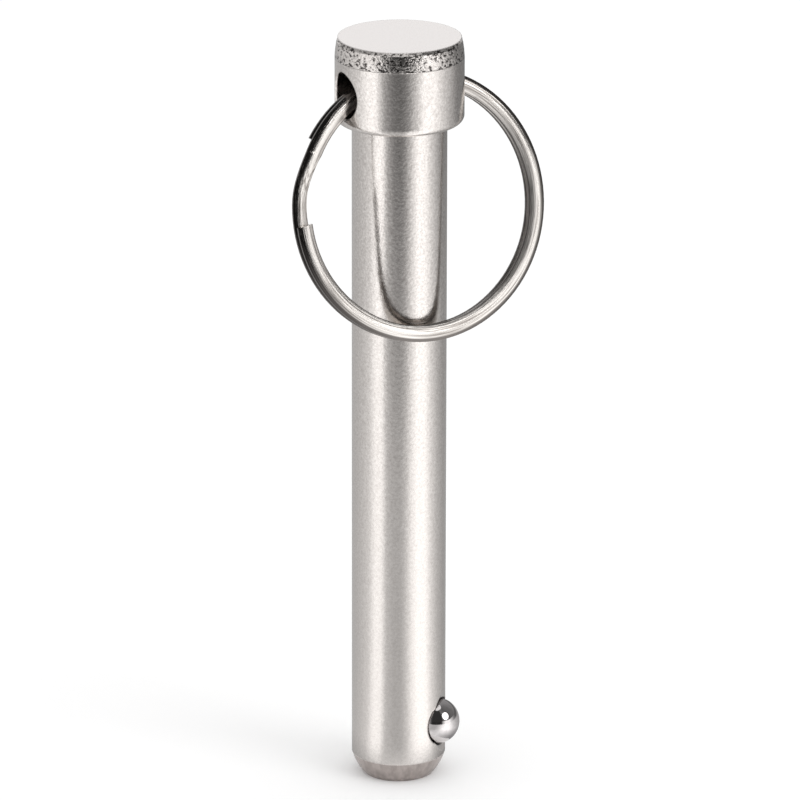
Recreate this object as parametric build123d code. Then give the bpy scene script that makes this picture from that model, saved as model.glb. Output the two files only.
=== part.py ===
from build123d import *

import os
from math import asin, atan, cos, degrees, hypot, pi, radians, sin, sqrt, tan

# Quick-release pin: a turned pin with a solid head, a sprung ball near its tip, and a split
# ring through the head. Millimetres. +Z runs from the tip to the head, with the origin at the
# centre of the tip's flat face. The ring's hole through the head runs along X.

# ---- Pin: shank, tip and head ----
shank_diameter = 8.0
overall_length = 65.3
tip_face_diameter = 6.0
tip_lead_length = 1.85
tip_crown = 0.12            # how far the lead-in bows out past a straight cone
head_diameter = 10.85
head_height = 7.3
head_bevel_width = 0.25     # rolled top edge, measured across the head
head_bevel_height = 1.7
head_bevel_crown = 0.045    # how far the rolled edge bows out past a straight bevel
head_lower_round = 0.6

# ---- Split ring: two turns of one rolled wire, crowned on both faces ----
ring_inside_diameter = 20.21
wire_width = 1.37           # across the wire, outwards from the ring's centre
wire_thickness = 0.64       # along the ring's axis
wire_crown = 0.22           # rise of each crowned face
turn_gap = 0.05
joggle_start_angle = 149.0  # the crimped stretch, where the wire changes from turn to turn
joggle_end_angle = 186.0
joggle_cross_share = 0.62   # how much of that stretch the change takes
joggle_narrowing = 0.14     # the crimp leaves the wire narrower on its inner side
joggle_sections = 9
front_end_angle = 182.0     # cut end of the front turn
back_end_angle = 143.5      # cut end of the back turn
end_shear_angle = 6.0       # both ends are sheared at a slight slant

# ---- Hole for the ring, through the head ----
ring_hole_slack = 0.48      # room round the bent wire, on the hole's radius
ring_hole_edge_break = 0.2
wall_under_ring_hole = 0.85
ring_roof_gap = 0.37        # between the hanging ring and the hole's roof, in the middle
ring_floor_gap = 0.11       # between the hanging ring and the hole's floor, at the -X mouth
ring_rest_gap = 0.1         # between the hanging ring and the shank it leans on

# ---- Ball, its bore and its spring ----
ball_diameter = 3.97
ball_proud = 1.4            # how far the ball stands out of the shank at rest
ball_height = 4.85          # ball centre above the tip face
ball_turn = 45.0            # ball bore's direction, turned from the ring's hole
ball_bore_clearance = 0.16  # on the radius
ball_bore_depth = 6.0       # full-width depth below the shank's surface
drill_point_angle = 118.0
lip_clearance = 0.02        # between the ball at rest and the staked lip's back edge
lip_mouth_gap = 0.16        # between the ball and the lip's front edge
lip_back_depth = 0.29       # staked lip's back and front edges, below the shank's surface
lip_front_depth = 0.2
stake_mark_diameter = 5.3
spring_wire_diameter = 0.45
spring_outside_diameter = 3.6
spring_active_turns = 3
spring_closed_pitch = 0.47  # pitch of the closed turn at each end
spring_points_per_turn = 20
spring_seat_gap = 0.01      # between the spring and what it bears on

# ---- Worked out from the sizes above ----
shank_radius = shank_diameter / 2
head_radius = head_diameter / 2
shoulder_height = overall_length - head_height

ring_inside_radius = ring_inside_diameter / 2
ring_outside_radius = ring_inside_radius + wire_width
turn_offset = (wire_thickness + turn_gap) / 2
ring_half_depth = wire_thickness + turn_gap / 2

# The bent wire is tallest in the hole between its crown and where it leaves the head.
wire_rise = ring_outside_radius - sqrt(ring_inside_radius**2 - head_radius**2)
ring_hole_radius = wire_rise / 2 + ring_hole_slack
ring_hole_height = shoulder_height + wall_under_ring_hole + ring_hole_radius

# The ring hangs from the hole's floor, nearly touching it at the -X mouth.
ring_drop = ring_outside_radius - (ring_hole_radius - ring_roof_gap)
mouth_drop = ring_drop - (ring_hole_radius - ring_floor_gap)
ring_shift = sqrt(ring_inside_radius**2 - mouth_drop**2) - head_radius

# It leans forwards until the crowned back of its lowest stretch meets the shank.
crown_radius = ((wire_width / 2) ** 2 + wire_crown**2) / (2 * wire_crown)
lean_arm = ring_drop + ring_inside_radius + wire_width / 2
lean_side = ring_half_depth - crown_radius
lean_reach = shank_radius + ring_rest_gap + crown_radius
ring_lean = asin(lean_reach / hypot(lean_arm, lean_side)) + atan(lean_side / lean_arm)

ball_radius = ball_diameter / 2
ball_centre = shank_radius + ball_proud - ball_radius
ball_bore_radius = ball_radius + ball_bore_clearance
ball_bore_end = shank_radius - ball_bore_depth
drill_half_angle = radians(drill_point_angle / 2)
spring_wire_radius = spring_wire_diameter / 2
spring_coil_radius = spring_outside_diameter / 2 - spring_wire_radius

# Planes: the ball bore's plane has its Z along the bore, outwards, and its Y up the pin.
ball_direction = Vector(cos(radians(ball_turn)), -sin(radians(ball_turn)), 0)
ball_plane = Plane(
    origin=(0, 0, ball_height),
    x_dir=ball_direction.cross(Vector(0, 0, 1)) * -1,
    z_dir=ball_direction,
)
ring_plane = Plane(
    origin=(
        ring_shift,
        -ring_drop * sin(ring_lean),
        ring_hole_height - ring_drop * cos(ring_lean),
    ),
    x_dir=(1, 0, 0),
    z_dir=(0, -cos(ring_lean), sin(ring_lean)),
)


def turned_blank():
    """Head and shank as they leave the lathe: one outline turned about Z."""
    tip_radius = tip_face_diameter / 2
    bevel_top = head_radius - head_bevel_width
    bevel_foot = overall_length - head_bevel_height
    with BuildPart() as blank:
        with BuildSketch(Plane.XZ):
            with BuildLine():
                Line((0, 0), (tip_radius, 0))
                SagittaArc((tip_radius, 0), (shank_radius, tip_lead_length), -tip_crown)
                Line((shank_radius, tip_lead_length), (shank_radius, shoulder_height))
                Line((shank_radius, shoulder_height), (head_radius - head_lower_round, shoulder_height))
                RadiusArc(
                    (head_radius - head_lower_round, shoulder_height),
                    (head_radius, shoulder_height + head_lower_round),
                    -head_lower_round,
                )
                Line((head_radius, shoulder_height + head_lower_round), (head_radius, bevel_foot))
                SagittaArc((head_radius, bevel_foot), (bevel_top, overall_length), -head_bevel_crown)
                Line((bevel_top, overall_length), (0, overall_length))
                Line((0, overall_length), (0, 0))
            make_face()
        revolve(axis=Axis.Z)
    return blank.part


def ring_hole_cutter():
    """The ring's hole: a cylinder along X, longer than the head is wide."""
    return Pos(0, 0, ring_hole_height) * Rot(0, 90, 0) * Cylinder(ring_hole_radius, 2 * head_diameter)


def ball_bore_cutter():
    """The blind drilling for the ball, with the seat under its lip and the stake mark round it."""
    seat_radius = ball_radius + lip_clearance
    lip_back = shank_radius - lip_back_depth
    lip_front = shank_radius - lip_front_depth
    lip_radius = sqrt(ball_radius**2 - (lip_front - ball_centre) ** 2) + lip_mouth_gap
    stake_slope = lip_front_depth / (stake_mark_diameter / 2 - lip_radius)
    drill_tip = ball_bore_end - ball_bore_radius / tan(drill_half_angle)
    mark_outer = stake_mark_diameter
    mark_top = lip_front + (mark_outer - lip_radius) * stake_slope
    with BuildPart() as cutter:
        with BuildSketch(Plane.XZ):
            with BuildLine():
                Polyline(
                    (0, drill_tip),
                    (ball_bore_radius, ball_bore_end),
                    (ball_bore_radius, lip_back),
                    (sqrt(seat_radius**2 - (lip_back - ball_centre) ** 2), lip_back),
                    (lip_radius, lip_front),
                    (mark_outer, mark_top),
                    (0, mark_top),
                    (0, drill_tip),
                )
            make_face()
        revolve(axis=Axis.Z)
    return ball_plane.location * cutter.part


def make_pin_body():
    """The turned blank with its two holes, and the ring hole's edges broken."""
    body = turned_blank() - ring_hole_cutter()
    turned_edges = (GeomType.LINE, GeomType.CIRCLE)
    mouth_edges = [edge for edge in body.edges() if edge.geom_type not in turned_edges]
    body = chamfer(mouth_edges, ring_hole_edge_break)
    return body - ball_bore_cutter()


def make_detent_ball():
    """The ball at rest against its lip."""
    return ball_plane.location * Pos(0, 0, ball_centre) * Sphere(ball_radius)


def spring_height(turn, free_pitch):
    """How far up the coil's middle line is after a number of turns: closed, open, closed."""
    open_turns = min(max(turn - 1, 0), spring_active_turns)
    closed_turns = turn - open_turns
    return closed_turns * spring_closed_pitch + open_turns * free_pitch


def make_detent_spring():
    """A closed-end compression spring between the drill point and the ball."""
    drill_rise = (ball_bore_radius - spring_coil_radius) / tan(drill_half_angle)
    back = ball_bore_end - drill_rise + (spring_wire_radius + spring_seat_gap) / sin(drill_half_angle)
    reach = ball_radius + spring_wire_radius + spring_seat_gap
    front = ball_centre - sqrt(reach**2 - spring_coil_radius**2)
    free_pitch = (front - back - 2 * spring_closed_pitch) / spring_active_turns
    turns = spring_active_turns + 2
    points = []
    for step in range(turns * spring_points_per_turn + 1):
        turn = step / spring_points_per_turn
        angle = 2 * pi * turn
        height = back + spring_height(turn, free_pitch)
        points.append((spring_coil_radius * cos(angle), spring_coil_radius * sin(angle), height))
    path = Spline(points)
    wire_end = Plane(origin=path @ 0, z_dir=path % 0)
    coil = sweep(wire_end * Circle(spring_wire_radius), path=path)
    return ball_plane.location * coil


def wire_section(angle, across, narrowing=0.0):
    """The wire's section at an angle round the ring. across is 1 in the front turn, -1 in the back."""
    high = across * turn_offset + wire_thickness / 2
    low = high - wire_thickness
    outer = ring_outside_radius
    inner = outer - wire_width + narrowing
    middle = (inner + outer) / 2
    outline = Wire(
        [
            ThreePointArc((inner, low + wire_crown), (middle, low), (outer, low + wire_crown)).edge(),
            Line((outer, low + wire_crown), (outer, high - wire_crown)).edge(),
            ThreePointArc((outer, high - wire_crown), (middle, high), (inner, high - wire_crown)).edge(),
            Line((inner, high - wire_crown), (inner, low + wire_crown)).edge(),
        ]
    )
    turn = radians(angle)
    plane = Plane(origin=(0, 0, 0), x_dir=(cos(turn), sin(turn), 0), z_dir=(sin(turn), -cos(turn), 0))
    return plane * Face(outline)


def ring_turn(start_angle, end_angle, across):
    """A plain stretch of one turn."""
    return revolve(wire_section(start_angle, across), Axis.Z, end_angle - start_angle)


def ring_joggle(start_angle, end_angle):
    """The crimped stretch that takes the wire from the front turn to the back turn."""
    sections = []
    for step in range(joggle_sections):
        share = step / (joggle_sections - 1)
        angle = start_angle + (end_angle - start_angle) * share
        across = cos(pi * min(share / joggle_cross_share, 1))
        narrowing = joggle_narrowing * sqrt(sin(pi * share))
        sections.append(wire_section(angle, across, narrowing))
    return loft(sections)


def shear_cutter(angle, side):
    """A block whose slanted face crosses the wire at an angle; side is the way it takes metal off."""
    reach = 2 * wire_width
    middle_radius = ring_inside_radius + wire_width / 2
    cut = Rot(0, 0, angle) * Pos(middle_radius, 0, 0) * Rot(0, 0, end_shear_angle)
    return cut * Pos(0, side * reach / 2, 0) * Box(2 * reach, reach, reach)


def make_split_ring():
    """Front turn, joggle and back turn in one piece, hung in the head."""
    stub = degrees(wire_width / ring_inside_radius)
    front = ring_turn(front_end_angle - stub, joggle_start_angle + 360, 1)
    front -= shear_cutter(front_end_angle, -1)
    joggle = ring_joggle(joggle_start_angle, joggle_end_angle)
    back = ring_turn(joggle_end_angle, back_end_angle + 360 + stub, -1)
    back -= shear_cutter(back_end_angle, 1)
    return ring_plane.location * (front + joggle + back)


def write_part(node, solid):
    solid.label = node
    export_step(solid, f"parts/{node}.step")


os.makedirs("parts", exist_ok=True)
write_part("pin_body", make_pin_body())
write_part("detent_ball", make_detent_ball())
write_part("detent_spring", make_detent_spring())
write_part("split_ring", make_split_ring())
print(f"ring hole radius {ring_hole_radius:.3f} at height {ring_hole_height:.3f}")
print(f"ring drop {ring_drop:.3f}, shift {ring_shift:.3f}, lean {degrees(ring_lean):.2f} degrees")
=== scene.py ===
from math import cos, pi, radians, sin

import bpy
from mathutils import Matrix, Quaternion, Vector


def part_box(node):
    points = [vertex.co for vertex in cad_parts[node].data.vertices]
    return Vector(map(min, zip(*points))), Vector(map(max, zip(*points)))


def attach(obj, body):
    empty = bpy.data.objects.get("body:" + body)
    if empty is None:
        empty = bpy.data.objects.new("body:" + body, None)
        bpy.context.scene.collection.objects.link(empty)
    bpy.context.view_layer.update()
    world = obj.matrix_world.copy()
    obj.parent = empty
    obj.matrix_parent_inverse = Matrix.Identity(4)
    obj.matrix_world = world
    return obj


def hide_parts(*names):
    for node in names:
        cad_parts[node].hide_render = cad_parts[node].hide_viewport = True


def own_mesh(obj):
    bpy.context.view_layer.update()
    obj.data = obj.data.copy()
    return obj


# Looks of a ball lock pin: satin stainless pin, nickel-plated split ring, polished ball.
# Lengths are in metres, as in the frame; MM turns millimetres into metres.
# In the node settings below, a Map Range takes its value at 0, the span it comes from at 1 and 2
# and the span it goes to at 3 and 4, and a colour Mix has its two colours at 6 and 7.

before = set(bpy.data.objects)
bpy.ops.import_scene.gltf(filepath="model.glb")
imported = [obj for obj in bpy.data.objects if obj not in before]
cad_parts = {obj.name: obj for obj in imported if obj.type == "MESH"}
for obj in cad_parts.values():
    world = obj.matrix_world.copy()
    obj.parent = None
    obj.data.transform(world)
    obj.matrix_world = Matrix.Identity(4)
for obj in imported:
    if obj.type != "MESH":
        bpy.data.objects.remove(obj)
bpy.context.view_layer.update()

MM = 0.001
VIEW_AZIMUTH = -26.4        # degrees; 0 looks along +Y
VIEW_ELEVATION = 18.52
CAMERA_DISTANCE = 633.8 * MM
CAMERA_LENS = 337.5         # on a 36 mm sensor
CAMERA_ROLL = 0.1           # degrees
AIM_HEIGHT = 33.39 * MM
AIM_SIDE = 0.08 * MM

TABLE_MIDDLE_RADIUS = 6 * MM
TABLE_RADIUS = 1.5
STUDIO_RADIUS = 0.9
NEAR_CLOTH_RADIUS = 80 * MM
FAR_CLOTH_RADIUS = 220 * MM
HORIZON_HEIGHT = 200 * MM
FOOT_RADIUS = 7 * MM        # FOOT_CLOTH inside this, and the cloth's stripes beyond STRIPE_RADIUS
STRIPE_RADIUS = 13 * MM
SCREEN_TOP = 2.6
CLOTH_HEIGHT = -0.1 * MM    # just under the table, which metal doesn't see
CLOTH_STRENGTH = 2.0        # the cloths' colours are halved, so that they stay under 1
DISC_STEPS = 96
BAND_STEPS = 60

pin_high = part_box("pin_body")[1]
HEAD_RIM_HEIGHT = 1.7 * MM  # the rolled band under the head's top face
LEAD_IN_HEIGHT = 1.85 * MM  # the turned slope at the tip
ring_low, ring_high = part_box("split_ring")
ball_low, ball_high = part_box("detent_ball")
BALL_RADIUS = 1.985 * MM
WIRE_WIDTH = 1.37 * MM
RING_LEAN = 13.36           # degrees that the ring's foot swings out from the shank

# Sizes of the marks that making leaves on the metal.
EDGE_ROUNDING = 0.18 * MM
SAND_GRAIN = 0.22 * MM
TUMBLED_WAVE = 0.5 * MM
RIM_DENT = 0.3 * MM         # one dent and the ridge beside it
LIP_BOTTOM = 0.34 * MM      # down from the top face
LIP_TOP = 0.04 * MM
LIP_SLOPE = 0.34 * MM       # how steeply the lip tilts the light
TOOL_STREAK = 0.4 * MM
SCUFF = 0.35 * MM
DRAWING_LINE = 0.15 * MM
LINE_PER_RADIAN = 0.25 * MM  # 10 mm of wire counts as this, which draws the lines out to 6 mm
DIE_LINE = 0.05 * MM


# ---- Colours and nodes ----

def colour(hex_code):
    """An sRGB hex colour as linear RGBA."""
    channels = [int(hex_code[i:i + 2], 16) / 255 for i in (1, 3, 5)]
    linear = [c / 12.92 if c <= 0.04045 else ((c + 0.055) / 1.055) ** 2.4 for c in channels]
    return (*linear, 1.0)


def add(tree, kind, inputs=(), **settings):
    """Adds a node. inputs maps a socket's name or number to a value or another node's output."""
    node = tree.nodes.new(kind)
    for name, value in settings.items():
        setattr(node, name, value)
    for socket, value in dict(inputs).items():
        if isinstance(value, bpy.types.NodeSocket):
            tree.links.new(value, node.inputs[socket])
        else:
            node.inputs[socket].default_value = value
    return node


def new_material(name, shader_kind="ShaderNodeBsdfPrincipled"):
    """A material with only a shader, wired to its output."""
    material = bpy.data.materials.new(name)
    material.use_nodes = True
    tree = material.node_tree
    tree.nodes.clear()
    shader = add(tree, shader_kind)
    add(tree, "ShaderNodeOutputMaterial", {"Surface": shader.outputs[0]})
    return material, tree, shader


def dress(node_name, material):
    """Gives a CAD node its material."""
    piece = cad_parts[node_name]
    piece.data.materials.clear()
    piece.data.materials.append(material)


# ---- Materials ----

def satin_stainless():
    """Stainless bar, centreless ground and tumbled: warm grey, with a fine sandy grain.

    The head's rolled rim is rough, the lead-in is as the tool left it, and painted shade darkens the
    rim's pits, the lead-in and the seam round the ball.
    """
    material, tree, shader = new_material("satin_stainless_steel")
    place = add(tree, "ShaderNodeTexCoord").outputs["Object"]
    height = add(tree, "ShaderNodeSeparateXYZ", {0: place}).outputs["Z"]
    top = pin_high.z
    rim_foot = top - HEAD_RIM_HEIGHT
    above_foot = add(
        tree, "ShaderNodeMapRange",
        {0: height, 1: rim_foot - 0.03 * MM, 2: rim_foot + 0.03 * MM},
    )
    below_top = add(
        tree, "ShaderNodeMapRange",
        {0: height, 1: top - 0.02 * MM, 2: top - 0.1 * MM},
    )
    rim = add(
        tree, "ShaderNodeMath",
        {0: above_foot.outputs[0], 1: below_top.outputs[0]}, operation="MULTIPLY",
    )
    lead_in = add(
        tree, "ShaderNodeMapRange",
        {0: height, 1: LEAD_IN_HEIGHT + 0.02 * MM, 2: LEAD_IN_HEIGHT - 0.06 * MM},
    )
    ball_centre = (ball_low + ball_high) / 2
    to_ball = add(tree, "ShaderNodeVectorMath", {0: place, 1: ball_centre}, operation="DISTANCE")
    seam_shade = add(
        tree, "ShaderNodeMapRange",
        {0: to_ball.outputs["Value"], 1: BALL_RADIUS + 0.2 * MM, 2: BALL_RADIUS + 0.08 * MM},
    )

    # Tumbling leaves a sandy mottle and a slight waviness, so edges of light waver, and it rounds
    # each edge. The heavy end takes most of it, and the faced top hardly any. A real grain is
    # about 0.1 mm, and is drawn at 0.22 mm so that it shows.
    by_length = add(
        tree, "ShaderNodeMapRange",
        {0: height, 1: 2 * MM, 2: 45 * MM, 3: 0.35, 4: 1.0},
    )
    tumbled = add(
        tree, "ShaderNodeMapRange",
        {0: height, 1: top - 0.02 * MM, 2: top - 0.1 * MM, 3: 0.25, 4: by_length.outputs[0]},
    )
    sand = add(
        tree, "ShaderNodeTexNoise",
        {"Vector": place, "Scale": 1 / SAND_GRAIN, "Detail": 3.0, "Roughness": 0.7},
    )
    waves = add(
        tree, "ShaderNodeTexNoise",
        {"Vector": place, "Scale": 1 / TUMBLED_WAVE, "Detail": 1.0},
    )
    broken_edges = add(tree, "ShaderNodeBevel", {"Radius": EDGE_ROUNDING}, samples=6)
    fine = add(
        tree, "ShaderNodeBump",
        {
            "Height": sand.outputs["Fac"], "Distance": 0.011 * MM, "Strength": tumbled.outputs[0],
            "Normal": broken_edges.outputs[0],
        },
    )
    wavy = add(
        tree, "ShaderNodeBump",
        {
            "Height": waves.outputs["Fac"], "Distance": 0.008 * MM, "Strength": 1.0,
            "Normal": fine.outputs[0],
        },
    )

    # The rolling tool leaves the rim pitted, in dents of 0.15 mm drawn out along its way round.
    travel = add(tree, "ShaderNodeMapping", {"Vector": place, "Scale": (1, 1, 1.4)})
    dents = add(
        tree, "ShaderNodeTexNoise",
        {"Vector": travel.outputs[0], "Scale": 1 / RIM_DENT, "Detail": 3.0, "Roughness": 0.55},
    )
    dent_height = add(
        tree, "ShaderNodeMath",
        {0: dents.outputs["Fac"], 1: rim.outputs[0]}, operation="MULTIPLY",
    )
    pitted = add(
        tree, "ShaderNodeBump",
        {
            "Height": dent_height.outputs[0], "Distance": 0.075 * MM, "Strength": 1.0,
            "Normal": wavy.outputs[0],
        },
    )
    # Rolling also turned the rim's top edge over in a lip 0.3 mm wide, which catches the light.
    lip = add(
        tree, "ShaderNodeMapRange",
        {0: height, 1: top - LIP_BOTTOM, 2: top - LIP_TOP, 3: 1.0, 4: 0.0},
        interpolation_type="SMOOTHSTEP",
    )
    rolled = add(
        tree, "ShaderNodeBump",
        {
            "Height": lip.outputs[0], "Distance": LIP_SLOPE, "Strength": 1.0,
            "Normal": pitted.outputs[0],
        },
    )
    tree.links.new(rolled.outputs[0], shader.inputs["Normal"])

    # The mottle shifts the grey all over. Painted shade darkens the rim's deepest pits, most of all
    # by its sharp top edge and its foot.
    sandy = add(
        tree, "ShaderNodeMapRange",
        {0: sand.outputs["Fac"], 1: 0.3, 2: 0.7, 3: -0.5, 4: 0.5},
    )
    shade = add(
        tree, "ShaderNodeMath",
        {0: sandy.outputs[0], 1: tumbled.outputs[0], 2: 0.5}, operation="MULTIPLY_ADD",
    )
    mottle = add(
        tree, "ShaderNodeMix",
        {"Factor": shade.outputs[0], 6: colour("#c8c2be"), 7: colour("#f0ebe7")},
        data_type="RGBA",
    )
    top_edge = add(tree, "ShaderNodeMapRange", {0: height, 1: top - 0.5 * MM, 2: top, 4: 0.1})
    depth = add(
        tree, "ShaderNodeMath",
        {0: dents.outputs["Fac"], 1: top_edge.outputs[0]}, operation="SUBTRACT",
    )
    foot_edge = add(
        tree, "ShaderNodeMapRange",
        {0: height, 1: rim_foot + 0.4 * MM, 2: rim_foot, 4: 0.07},
    )
    deeper = add(
        tree, "ShaderNodeMath",
        {0: depth.outputs[0], 1: foot_edge.outputs[0]}, operation="SUBTRACT",
    )
    pit_shade_mask = add(tree, "ShaderNodeMapRange", {0: deeper.outputs[0], 1: 0.47, 2: 0.37})
    pit_shade = add(
        tree, "ShaderNodeMath",
        {0: pit_shade_mask.outputs[0], 1: rim.outputs[0]}, operation="MULTIPLY",
    )
    # Painted shade: the rim's pits are mixed towards near-black.
    pit_shaded = add(
        tree, "ShaderNodeMix",
        {"Factor": pit_shade.outputs[0], 6: mottle.outputs[2], 7: colour("#454140")},
        data_type="RGBA",
    )
    # The form tool leaves the lead-in dull, with streaks up and down it. Its colour is also painted
    # darker, as painted shade for the shadowed table under it that it reflects.
    upright = add(tree, "ShaderNodeMapping", {"Vector": place, "Scale": (1, 1, 0.15)})
    tool_marks = add(
        tree, "ShaderNodeTexNoise",
        {"Vector": upright.outputs[0], "Scale": 1 / TOOL_STREAK, "Detail": 3.0, "Roughness": 0.6},
    )
    dull = add(
        tree, "ShaderNodeMix",
        {"Factor": tool_marks.outputs["Fac"], 6: colour("#837b77"), 7: colour("#d2c8c4")},
        data_type="RGBA",
    )
    turned = add(
        tree, "ShaderNodeMix",
        {"Factor": lead_in.outputs[0], 6: pit_shaded.outputs[2], 7: dull.outputs[2]},
        data_type="RGBA",
    )
    # Painted shade: a near-black band round the ball stands in for the shadow in the seam's gap.
    seam_shaded = add(
        tree, "ShaderNodeMix",
        {"Factor": seam_shade.outputs[0], 6: turned.outputs[2], 7: colour("#1c1917")},
        data_type="RGBA",
    )
    faced = add(
        tree, "ShaderNodeMapRange",
        {0: height, 1: top - 0.08 * MM, 2: top - 0.02 * MM},
    )
    bright = add(
        tree, "ShaderNodeMix",
        {"Factor": faced.outputs[0], 6: seam_shaded.outputs[2], 7: colour("#e2dddb")},
        data_type="RGBA",
    )
    tree.links.new(bright.outputs[2], shader.inputs["Base Color"])
    # The faced top is blasted: it scatters part of the light and looks matt. It is set a little less
    # metallic for that, so that it doesn't go black where the room before it is dark.
    scatter = add(tree, "ShaderNodeMapRange", {0: faced.outputs[0], 3: 1.0, 4: 0.6})
    tree.links.new(scatter.outputs[0], shader.inputs["Metallic"])
    blasted = add(tree, "ShaderNodeMapRange", {0: faced.outputs[0], 3: 0.15, 4: 0.22})
    finish = add(tree, "ShaderNodeMapRange", {0: rim.outputs[0], 3: blasted.outputs[0], 4: 0.1})
    matt = add(
        tree, "ShaderNodeMath",
        {0: lead_in.outputs[0], 1: 0.15, 2: finish.outputs[0]}, operation="MULTIPLY_ADD",
    )
    tree.links.new(matt.outputs[0], shader.inputs["Roughness"])
    return material


def polished_steel():
    """Hardened ball-bearing steel, lapped to a mirror and a little scuffed by use."""
    material, tree, shader = new_material("lapped_bearing_steel")
    place = add(tree, "ShaderNodeTexCoord").outputs["Object"]
    scuffs = add(
        tree, "ShaderNodeTexNoise",
        {"Vector": place, "Scale": 1 / SCUFF, "Detail": 3.0, "Roughness": 0.6},
    )
    worn = add(
        tree, "ShaderNodeBump",
        {"Height": scuffs.outputs["Fac"], "Distance": 0.005 * MM, "Strength": 1.0},
    )
    tree.links.new(worn.outputs[0], shader.inputs["Normal"])
    tint = add(
        tree, "ShaderNodeMix",
        {"Factor": scuffs.outputs["Fac"], 6: colour("#cbc6c5"), 7: colour("#e8e4e4")},
        data_type="RGBA",
    )
    tree.links.new(tint.outputs[2], shader.inputs["Base Color"])
    shader.inputs["Metallic"].default_value = 1.0
    shader.inputs["Roughness"].default_value = 0.06
    return material


def nickel_plate():
    """Drawn and rolled steel wire under bright nickel plate: warm, and streaked along the wire."""
    material, tree, shader = new_material("bright_nickel_plate")
    place = add(tree, "ShaderNodeTexCoord").outputs["Object"]
    centre = (ring_low + ring_high) / 2
    moved = add(tree, "ShaderNodeVectorMath", {0: place, 1: centre}, operation="SUBTRACT")
    flat = add(
        tree, "ShaderNodeVectorRotate",
        {"Vector": moved.outputs[0], "Angle": radians(RING_LEAN)}, rotation_type="X_AXIS",
    )
    parts = add(tree, "ShaderNodeSeparateXYZ", {0: flat.outputs[0]})
    in_plane = add(
        tree, "ShaderNodeVectorMath",
        {0: flat.outputs[0], 1: (1, 0, 1)}, operation="MULTIPLY",
    )
    radius = add(
        tree, "ShaderNodeVectorMath", {0: in_plane.outputs[0]}, operation="LENGTH",
    ).outputs["Value"]
    downward = add(
        tree, "ShaderNodeMath",
        {0: parts.outputs["Z"], 1: -1.0}, operation="MULTIPLY",
    ).outputs[0]
    turn = add(
        tree, "ShaderNodeMath",
        {0: parts.outputs["X"], 1: downward}, operation="ARCTAN2",
    ).outputs[0]
    along = add(
        tree, "ShaderNodeMath",
        {0: turn, 1: LINE_PER_RADIAN}, operation="MULTIPLY",
    ).outputs[0]

    # Drawing lines 6 mm long run along the wire and spread the light across it. Real ones lie
    # about 0.05 mm apart, and are drawn at 0.15 mm so that they show.
    across = add(tree, "ShaderNodeCombineXYZ", {0: radius, 1: parts.outputs["Y"], 2: along})
    lines = add(
        tree, "ShaderNodeTexNoise",
        {"Vector": across.outputs[0], "Scale": 1 / DRAWING_LINE, "Detail": 3.0, "Roughness": 0.6},
    )
    drawn = add(
        tree, "ShaderNodeBump",
        {"Height": lines.outputs["Fac"], "Distance": 0.035 * MM, "Strength": 1.0},
    )
    tree.links.new(drawn.outputs[0], shader.inputs["Normal"])
    marks = add(tree, "ShaderNodeMapRange", {0: lines.outputs["Fac"], 1: 0.36, 2: 0.56})
    streaks = add(
        tree, "ShaderNodeMix",
        {"Factor": marks.outputs[0], 6: colour("#96908b"), 7: colour("#ece7e2")},
        data_type="RGBA",
    )
    # Rolling leaves the wire's face dull and its outer part bright. Both edges of the wire are
    # painted dark, as painted shade and painted dark reflection along them.
    outside = (ring_high.x - ring_low.x) / 2
    outer_edge_shade = add(
        tree, "ShaderNodeMapRange",
        {0: radius, 1: outside - 0.36 * MM, 2: outside - 0.24 * MM},
    )
    inside = outside - WIRE_WIDTH
    inner_edge_shade = add(
        tree, "ShaderNodeMapRange",
        {0: radius, 1: inside + 0.08 * MM, 2: inside + 0.03 * MM},
    )
    edge_shade = add(
        tree, "ShaderNodeMath",
        {0: outer_edge_shade.outputs[0], 1: inner_edge_shade.outputs[0]}, operation="MAXIMUM",
    )
    plate_with_edge_shade = add(
        tree, "ShaderNodeMix",
        {"Factor": edge_shade.outputs[0], 6: streaks.outputs[2], 7: colour("#726d6a")},
        data_type="RGBA",
    )
    tree.links.new(plate_with_edge_shade.outputs[2], shader.inputs["Base Color"])
    dulled = add(
        tree, "ShaderNodeMapRange",
        {0: radius, 1: outside - 0.7 * MM, 2: outside - 0.5 * MM, 3: 0.34, 4: 0.12},
    )
    tree.links.new(dulled.outputs[0], shader.inputs["Roughness"])
    shader.inputs["Metallic"].default_value = 1.0
    return material


def spring_wire():
    """Patented spring wire, drawn and left dull, with fine die lines.

    Real die lines lie about 0.01 mm apart. They are drawn five times as coarse, so that they show.
    """
    material, tree, shader = new_material("drawn_spring_wire")
    place = add(tree, "ShaderNodeTexCoord").outputs["Object"]
    die_lines = add(
        tree, "ShaderNodeTexNoise",
        {"Vector": place, "Scale": 1 / DIE_LINE, "Detail": 2.0},
    )
    shade = add(
        tree, "ShaderNodeMix",
        {"Factor": die_lines.outputs["Fac"], 6: colour("#8f8c8a"), 7: colour("#cfccca")},
        data_type="RGBA",
    )
    tree.links.new(shade.outputs[2], shader.inputs["Base Color"])
    shader.inputs["Metallic"].default_value = 1.0
    shader.inputs["Roughness"].default_value = 0.35
    return material


def make_spring(material):
    """The spring behind the ball, as a piece of its own on the pin's body."""
    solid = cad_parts["detent_spring"]
    piece = bpy.data.objects.new("closing_spring", solid.data.copy())
    bpy.context.scene.collection.objects.link(piece)
    piece.data.materials.clear()
    piece.data.materials.append(material)
    outward = (ball_low + ball_high) / 2
    outward = Vector((outward.x, outward.y, 0)).normalized()
    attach(piece, "pin")
    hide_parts("detent_spring")
    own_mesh(piece)


# ---- Table, studio and lamp ----

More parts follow.
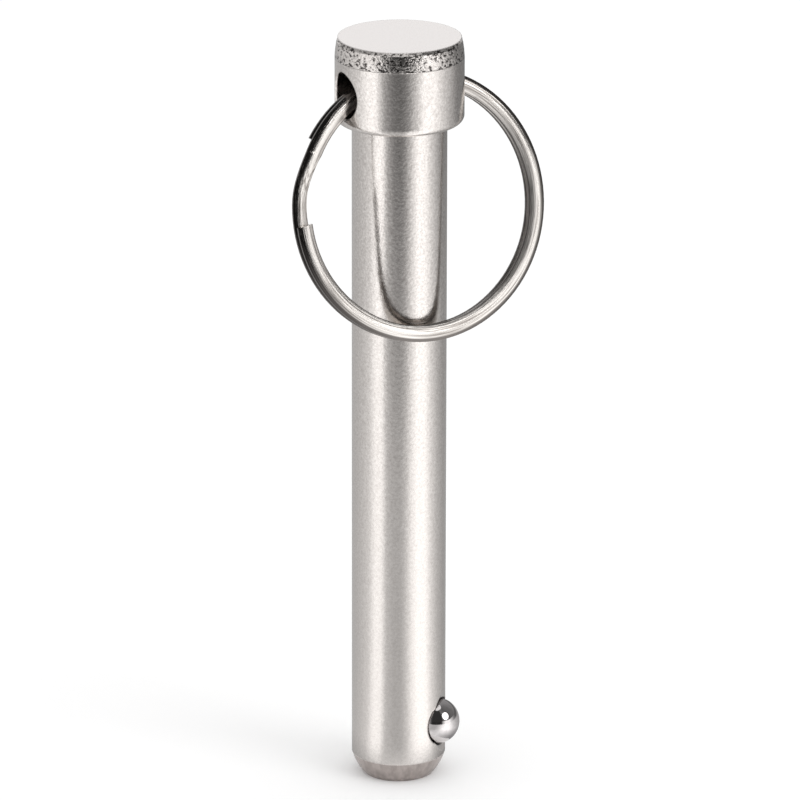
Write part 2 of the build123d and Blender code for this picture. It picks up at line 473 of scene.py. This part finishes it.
def band(name, material, profile, start, end, steps):
    """A surface turned about Z: profile holds (radius, height) pairs, start and end are azimuths.

    Azimuths are degrees from the camera's side, and positive to its right.
    """
    points = []
    faces = []
    row = len(profile)
    for step in range(steps + 1):
        turn = radians(start + (end - start) * step / steps)
        points += [(r * sin(turn), -r * cos(turn), z) for r, z in profile]
    for step in range(steps):
        for k in range(row - 1):
            a = step * row + k
            faces.append((a, a + row, a + row + 1, a + 1))
    mesh = bpy.data.meshes.new(name)
    mesh.from_pydata(points, [], faces)
    mesh.materials.append(material)
    piece = bpy.data.objects.new(name, mesh)
    piece.rotation_euler.z = radians(VIEW_AZIMUTH)
    bpy.context.scene.collection.objects.link(piece)
    return piece


def make_table():
    """A white table that takes the object's shadow. Metal sees only its middle, and the cloths."""
    laminate, tree, shader = new_material("white_laminate")
    shader.inputs["Base Color"].default_value = colour("#fcfcfc")
    shader.inputs["Roughness"].default_value = 0.9
    shader.inputs["Specular IOR Level"].default_value = 0.0
    band("table_middle", laminate, [(0.0, 0.0), (TABLE_MIDDLE_RADIUS, 0.0)], -180, 180, DISC_STEPS)
    outside = [(TABLE_MIDDLE_RADIUS, 0.0), (TABLE_RADIUS, 0.0)]
    outer = band("table", laminate, outside, -180, 180, DISC_STEPS)
    outer.visible_glossy = False
    outer.visible_shadow = False


# Cloths and screens: (azimuth, how bright next to the white room).
NEAR_CLOTH = [
    (-180, 0.46), (-121, 0.58), (-96, 0.68), (-76, 0.84), (-58, 1.3), (-42, 1.28),
    (-30, 0.68), (-12, 0.55), (5, 0.55), (17, 0.77), (32, 1.26), (46, 1.5), (66, 1.45),
    (82, 0.95), (104, 0.6), (133, 0.42), (180, 0.4),
]
FAR_CLOTH = [
    (-180, 0.46), (-121, 0.56), (-96, 0.66), (-76, 0.84), (-58, 1.3), (-42, 1.45),
    (-30, 0.48), (-12, 0.16), (5, 0.11), (17, 0.28), (32, 0.8), (46, 1.45), (66, 1.3),
    (82, 0.86), (104, 0.5), (120, 0.24), (180, 0.2),
]
FOOT_CLOTH = [
    (-180, 0.35), (-60, 0.5), (-30, 0.75), (0, 0.92), (25, 0.9), (45, 0.75), (65, 0.5),
    (90, 0.3), (180, 0.3),
]
HORIZON_SCREEN = [
    (-165, 0.65), (-121, 0.85), (-90, 0.95), (-74, 1.0), (-58, 1.2), (-42, 1.1),
    (-30, 0.2), (-22, 0.03), (25, 0.03), (36, 0.7), (46, 1.3), (66, 1.35), (82, 0.8),
    (100, 0.3), (115, 0.14), (170, 0.14),
]
HIGH_SCREEN = [
    (-165, 0.6), (-121, 0.5), (-90, 0.6), (-74, 0.85), (-58, 1.2), (-42, 1.1),
    (-30, 0.15), (-22, 0.04), (30, 0.04), (38, 0.2), (75, 0.14), (110, 0.18),
    (150, 0.3), (168, 0.35),
]


def studio_band(name, near, far, profile):
    """A lit cloth in upright or radiating stripes. Only metal sees it.

    near and far are its stops within NEAR_CLOTH_RADIUS and beyond FAR_CLOTH_RADIUS.
    """
    material, tree, shader = new_material(name + "_cloth", "ShaderNodeEmission")
    place = add(tree, "ShaderNodeTexCoord").outputs["Object"]
    parts = add(tree, "ShaderNodeSeparateXYZ", {0: place})
    front = add(
        tree, "ShaderNodeMath",
        {0: parts.outputs["Y"], 1: -1.0}, operation="MULTIPLY",
    ).outputs[0]
    turn = add(
        tree, "ShaderNodeMath",
        {0: parts.outputs["X"], 1: front}, operation="ARCTAN2",
    ).outputs[0]
    share = add(
        tree, "ShaderNodeMath",
        {0: turn, 1: 1 / (2 * pi), 2: 0.5}, operation="MULTIPLY_ADD",
    ).outputs[0]
    distance = add(tree, "ShaderNodeVectorMath", {0: place}, operation="LENGTH").outputs["Value"]
    farness = add(
        tree, "ShaderNodeMapRange",
        {0: distance, 1: NEAR_CLOTH_RADIUS, 2: FAR_CLOTH_RADIUS},
    )
    ramps = []
    for stops in (near, far, FOOT_CLOTH):
        ramp = add(tree, "ShaderNodeValToRGB", {0: share})
        marks = ramp.color_ramp.elements
        while len(marks) < len(stops):
            marks.new(0.5)
        for mark, (azimuth, level) in zip(marks, stops):
            grey = level / CLOTH_STRENGTH
            mark.position = azimuth / 360 + 0.5
            mark.color = (grey, grey, grey, 1)
        ramps.append(ramp.outputs[0])
    near_grey, far_grey, foot_grey = ramps
    stripes = add(
        tree, "ShaderNodeMix",
        {"Factor": farness.outputs[0], 6: near_grey, 7: far_grey},
        data_type="RGBA",
    )
    striped = add(tree, "ShaderNodeMapRange", {0: distance, 1: FOOT_RADIUS, 2: STRIPE_RADIUS})
    evened = add(
        tree, "ShaderNodeMix",
        {"Factor": striped.outputs[0], 6: foot_grey, 7: stripes.outputs[2]},
        data_type="RGBA",
    )
    tree.links.new(evened.outputs[2], shader.inputs["Color"])
    shader.inputs["Strength"].default_value = CLOTH_STRENGTH
    piece = band(name, material, profile, near[0][0], near[-1][0], BAND_STEPS)
    piece.visible_camera = False
    piece.visible_diffuse = False
    piece.visible_shadow = False


def make_world():
    """A plain white room, the same for the camera and for metal."""
    world = bpy.data.worlds.new("white_room")
    bpy.context.scene.world = world
    world.use_nodes = True
    tree = world.node_tree
    tree.nodes.clear()
    background = add(tree, "ShaderNodeBackground", {"Color": (1, 1, 1, 1), "Strength": 1.0})
    add(tree, "ShaderNodeOutputWorld", {"Surface": background.outputs[0]})


def softbox(name, azimuth, elevation, distance, size, power):
    """A round lamp, placed by its angle from the camera's side."""
    lamp = bpy.data.lights.new(name, "AREA")
    lamp.shape = "DISK"
    lamp.size = size
    lamp.energy = power
    piece = bpy.data.objects.new(name, lamp)
    turn = radians(VIEW_AZIMUTH + azimuth)
    tilt = radians(elevation)
    away = Vector((sin(turn) * cos(tilt), -cos(turn) * cos(tilt), sin(tilt)))
    piece.location = away * distance + Vector((0, 0, AIM_HEIGHT))
    piece.rotation_euler = away.to_track_quat("Z", "Y").to_euler()
    bpy.context.scene.collection.objects.link(piece)


def make_camera():
    """A long lens that looks a little down on the pin."""
    turn = radians(VIEW_AZIMUTH)
    tilt = radians(VIEW_ELEVATION)
    back = Vector((sin(turn) * cos(tilt), -cos(turn) * cos(tilt), sin(tilt)))
    aim = Vector((cos(turn), sin(turn), 0)) * AIM_SIDE + Vector((0, 0, AIM_HEIGHT))
    lens = bpy.data.cameras.new("camera")
    lens.lens = CAMERA_LENS
    lens.sensor_width = 36.0
    lens.clip_start = 0.01
    lens.clip_end = 10.0
    camera = bpy.data.objects.new("camera", lens)
    camera.location = aim + back * CAMERA_DISTANCE
    roll = Quaternion((0, 0, 1), radians(CAMERA_ROLL))
    camera.rotation_mode = "QUATERNION"
    camera.rotation_quaternion = (-back).to_track_quat("-Z", "Y") @ roll
    bpy.context.scene.collection.objects.link(camera)
    bpy.context.scene.camera = camera


make_camera()
make_table()
make_world()
studio_band(
    "low_cloth", NEAR_CLOTH, FAR_CLOTH,
    [(TABLE_MIDDLE_RADIUS, CLOTH_HEIGHT), (STUDIO_RADIUS, CLOTH_HEIGHT)],
)
studio_band(
    "horizon_screen", HORIZON_SCREEN, HORIZON_SCREEN,
    [(STUDIO_RADIUS, 0.0), (STUDIO_RADIUS, HORIZON_HEIGHT)],
)
studio_band(
    "high_screen", HIGH_SCREEN, HIGH_SCREEN,
    [(STUDIO_RADIUS, HORIZON_HEIGHT), (STUDIO_RADIUS, SCREEN_TOP)],
)
softbox("key_lamp", azimuth=56, elevation=30, distance=520 * MM, size=320 * MM, power=0.6)

dress("pin_body", satin_stainless())
dress("detent_ball", polished_steel())
make_spring(spring_wire())
dress("split_ring", nickel_plate())

bpy.context.scene.view_settings.view_transform = "Standard"
